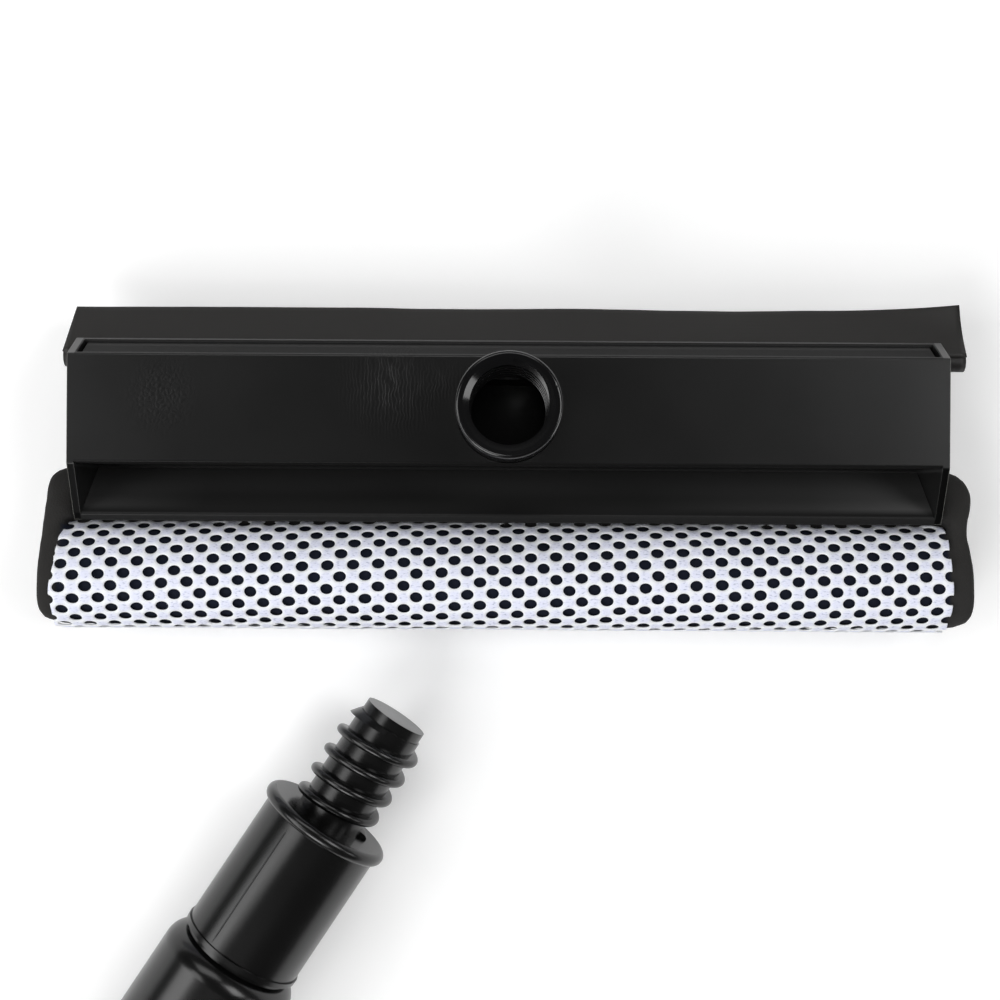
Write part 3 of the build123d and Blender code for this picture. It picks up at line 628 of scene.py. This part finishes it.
def rubber_line():
    """The rubber's section as (Y, height, distance past the root) points, its corners eased."""
    size = hypot(*lip_size)
    run = (lip_size[0] / size, lip_size[1] / size)
    up = (-run[1], run[0])

    def at(distance, depth):
        """The point at a distance past the root and a depth under the lip's upper side."""
        y = lip_root[0] + run[0] * distance - up[0] * depth
        z = lip_root[1] + run[1] * distance - up[1] * depth
        return (y, z, distance)

    def under(distance):
        """The point of the lip's underside at a distance past the root."""
        return at(distance, lip_thick[0] + (lip_thick[1] - lip_thick[0]) * distance / size)

    def eased(before, corner, after):
        """Three points that round a corner off."""
        near = []
        for other in (before, after):
            gap = corner_ease / hypot(other[0] - corner[0], other[1] - corner[1])
            near.append([c + (o - c) * gap for c, o in zip(corner, other)])
        middle = [(a + 2 * c + b) / 4 for a, c, b in zip(near[0], corner, near[1])]
        return [near[0], middle, near[1]]

    top = [at(size * i / lip_steps, 0) for i in range(lip_steps + 1)]
    below = [under(size * (lip_steps - i) / lip_steps) for i in range(lip_steps)]
    below = [p for p in below if hypot(p[0] - bead[0], p[1] - bead[1]) > bead_radius]
    line = eased(top[-2], top[-1], below[0])
    line += eased(top[-1], below[0], below[1]) + below[1:]
    start = atan2(below[-1][1] - bead[1], below[-1][0] - bead[0])
    end = atan2(lip_root[1] - bead[1] - bead_neck, lip_root[0] - bead[0]) - 2 * pi
    for i in range(1, bead_steps + 1):
        angle = start + (end - start) * i / bead_steps
        line.append((bead[0] + bead_radius * cos(angle), bead[1] + bead_radius * sin(angle), 0))
    return line + top[:-1], up


def rubber():
    """The squeegee rubber: straight where the frame holds it, a little wavy at its free edge."""
    line, up = rubber_line()
    size = hypot(*lip_size)
    points, faces = [], []
    for i in range(rubber_stations + 1):
        x = rubber_ends[0] + (rubber_ends[1] - rubber_ends[0]) * i / rubber_stations
        wave = drift(x, 0.4, along=34 * mm, across=1, seed=0, size=0.5 * mm)
        wave += drift(x, 2.4, along=9 * mm, across=1, seed=0, size=0.1 * mm)
        curl = curl_size * min(curl_most, max(0, (x - curl_start) / curl_length)) ** 2
        for y, z, distance in line:
            free = max(0, (distance - lip_held) / (size - lip_held)) ** 2
            short = rubber_cut * max(0, distance / size) if i == 0 else 0
            shift = (wave + curl) * free
            points.append((x + short, y + up[0] * shift, plate_z + z + up[1] * shift))
    count = len(line)
    for i in range(rubber_stations):
        for j in range(count):
            after = (j + 1) % count
            faces.append((i * count + j, (i + 1) * count + j, (i + 1) * count + after, i * count + after))
    faces.append(tuple(range(count)))
    faces.append(tuple(rubber_stations * count + j for j in reversed(range(count))))
    data = new_mesh("rubber_lip", points, faces)
    made = new_piece("rubber_lip", data, blade_rubber, "rubber")
    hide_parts("squeegee_rubber")


# The sponge's ends swell from swell_start on. By how many millimetres: each end by the nose and by the
# recess, and the right end's bulge and the hollow beside it.
sponge_voxel = 1.1 * mm
swell_start = 93 * mm
swell_length = 7 * mm
left_nose, left_recess = 1.9, 0.8
right_nose, right_recess = 1.1, 0.1
right_bulge, right_hollow = 1.4, 0.5


def soft_step(y, middle, width):
    """1 well below a middle, 0 well above it, and a soft step between."""
    return 1 / (1 + exp((y - middle) / width))


def hump(y, middle, width):
    """A rounded hump, 1 at its middle."""
    return exp(-(((y - middle) / width) ** 2))


def swelling(x, y):
    """How far a point of the sponge's end moves along X: more by the nose, and at the right in a bulge."""
    out = max(0, (abs(x) - swell_start) / swell_length)
    if x < 0:
        low = soft_step(y, -27 * mm, 5 * mm)
        return -out * (left_nose * low + left_recess * (1 - low)) * mm
    low = soft_step(y, -30 * mm, 4 * mm)
    bulge = right_bulge * hump(y, -18 * mm, 5 * mm) - right_hollow * hump(y, -25 * mm, 4 * mm)
    return out * (right_nose * low + right_recess * (1 - low) + bulge) * mm


def sponge():
    """The sponge: the solid's own form softened, with ends that swell past the net."""
    uneven_length, uneven_size = 6 * mm, 0.12 * mm
    form = bpy.data.objects.new("sponge_form", nodes["scrub_foam"].data.copy())
    bpy.context.scene.collection.objects.link(form)
    remesh = form.modifiers.new("cells", "REMESH")
    remesh.mode = "VOXEL"
    remesh.voxel_size = sponge_voxel
    smooth = form.modifiers.new("soft", "SMOOTH")
    smooth.factor = 0.6
    smooth.iterations = 5
    bpy.context.view_layer.update()
    data = bpy.data.meshes.new_from_object(form.evaluated_get(bpy.context.evaluated_depsgraph_get()))
    data.name = "sponge"
    bpy.data.objects.remove(form)
    for vert in data.vertices:
        x, y, z = vert.co
        x += swelling(x, y)
        uneven = noise.noise(Vector((x, y, z)) / uneven_length) * uneven_size
        vert.co = (x, y + uneven, z + uneven)
    made = new_piece("sponge", data, sponge_foam(), "head")
    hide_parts("scrub_foam")


sponge()
net()
rubber()
parting_line()


def softbox(name, azimuth, elevation, size, power, only=()):
    """A rectangular softbox that looks at the head from a direction, and may light named pieces alone."""
    distance = 1.0
    head_middle = Vector((0, -20 * mm, plate_z))
    flat = cos(radians(elevation))
    away = Vector((flat * cos(radians(azimuth)), flat * sin(radians(azimuth)), sin(radians(elevation))))
    data = bpy.data.lights.new(name, "AREA")
    data.shape = "RECTANGLE"
    data.size, data.size_y = size
    data.energy = power
    made = bpy.data.objects.new(name, data)
    made.location = head_middle + away * distance
    made.rotation_euler = (-away).to_track_quat("-Z", "Y").to_euler()
    made.visible_camera = False
    bpy.context.scene.collection.objects.link(made)
    if only:
        lit = bpy.data.collections.new(name + "_lit")
        for piece in only:
            lit.objects.link(piece)
        made.light_linking.receiver_collection = lit


def table():
    """A plain white table top, a little below what stands on it, that keeps the object's shadow."""
    reach, level = 3.0, table_z - 0.05 * mm
    # a matt laminate, whose own glow is seen by camera, reflections and glass, and lights nothing
    made, tree = new_material("matt_laminate")
    seen = add(tree, "LightPath").outputs
    rays = seen["Is Camera Ray"]
    for kind in ("Is Glossy Ray", "Is Transmission Ray"):
        rays = add(tree, "Math", {"operation": "MAXIMUM"}, {0: rays, 1: seen[kind]}).outputs["Value"]
    matt = add(tree, "BsdfDiffuse", inputs={"Color": linear("#F3F3F3")})
    # far from the object the table fades into the white room
    place = add(tree, "TexCoord").outputs["Object"]
    gone = add(tree, "VectorMath", {"operation": "LENGTH"}, {0: place}).outputs["Value"]
    fade = add(tree, "MapRange", inputs={
        "Value": gone, "From Min": 0.5, "From Max": 1.3, "To Min": 0.25, "To Max": 1.0,
    }).outputs["Result"]
    share = add(tree, "Math", {"operation": "MULTIPLY"}, {0: rays, 1: fade}).outputs["Value"]
    glow = add(tree, "Emission", inputs={"Color": (1, 1, 1, 1), "Strength": share})
    both = add(tree, "AddShader", inputs={0: matt.outputs["BSDF"], 1: glow.outputs["Emission"]})
    add(tree, "OutputMaterial", inputs={"Surface": both.outputs["Shader"]})
    corners = [(-reach, -reach, level), (reach, -reach, level), (reach, reach, level), (-reach, reach, level)]
    data = new_mesh("table", corners, [(0, 1, 2, 3)])
    data.materials.append(made)
    top = bpy.data.objects.new("table", data)
    bpy.context.scene.collection.objects.link(top)


def surroundings():
    """A white room under a dark ceiling: white to the eye and in low reflections, plain fill from above."""
    world = bpy.data.worlds.new("white_room")
    bpy.context.scene.world = world
    world.use_nodes = True
    tree = world.node_tree
    tree.nodes.clear()
    seen = add(tree, "LightPath").outputs
    place = add(tree, "TexCoord").outputs["Generated"]
    height = add(tree, "SeparateXYZ", inputs={"Vector": place}).outputs["Z"]
    # reflections see the white walls only near the horizon
    wall = add(tree, "MapRange", inputs={"Value": height, "From Min": 0.08, "From Max": 0.02})
    low = add(tree, "Math", {"operation": "MULTIPLY"}, {0: seen["Is Glossy Ray"], 1: wall.outputs["Result"]})
    rays = low.outputs["Value"]
    for kind in ("Is Camera Ray", "Is Transmission Ray"):
        rays = add(tree, "Math", {"operation": "MAXIMUM"}, {0: rays, 1: seen[kind]}).outputs["Value"]
    strength = add(tree, "MapRange", inputs={"Value": rays, "To Min": 0.08, "To Max": 1.0})
    back = add(tree, "Background", inputs={"Color": (1, 1, 1, 1), "Strength": strength.outputs["Result"]})
    add(tree, "OutputWorld", inputs={"Surface": back.outputs["Background"]})


table()
surroundings()
softbox("key_softbox", 171, 52, (0.36, 0.34), 1.1)
softbox("left_softbox", 192, 33, (0.7, 0.4), 3.1)
softbox("right_softbox", 12, 50, (0.5, 0.42), 3.2)
softbox("rear_softbox", 92, 46, (0.8, 0.4), 2.2)
softbox("front_softbox", -122, 40, (0.5, 0.4), 4.1)
softbox("low_softbox", -21, 23, (0.3, 0.26), 0.7)
# two small softboxes are flagged so that they light the glossy socket alone
softbox("mouth_softbox", -18, 9, (0.5, 0.24), 1.6, only=[nodes["pole_socket"]])
softbox("thread_softbox", -118, 77, (0.16, 0.16), 0.5, only=[nodes["pole_socket"]])

# The camera looks straight down on the head, turned by about a third of a degree
camera_x, camera_y, camera_height = -1.68 * mm, -18.9 * mm, 317.3 * mm
camera_turn = 0.00646
camera_data = bpy.data.cameras.new("camera")
camera_data.sensor_width = 36
camera_data.lens = 54
camera = bpy.data.objects.new("camera", camera_data)
camera.location = (camera_x, camera_y, plate_z + camera_height)
camera.rotation_euler = (0, 0, camera_turn)
bpy.context.scene.collection.objects.link(camera)
bpy.context.scene.camera = camera
bpy.context.scene.view_settings.view_transform = "Standard"
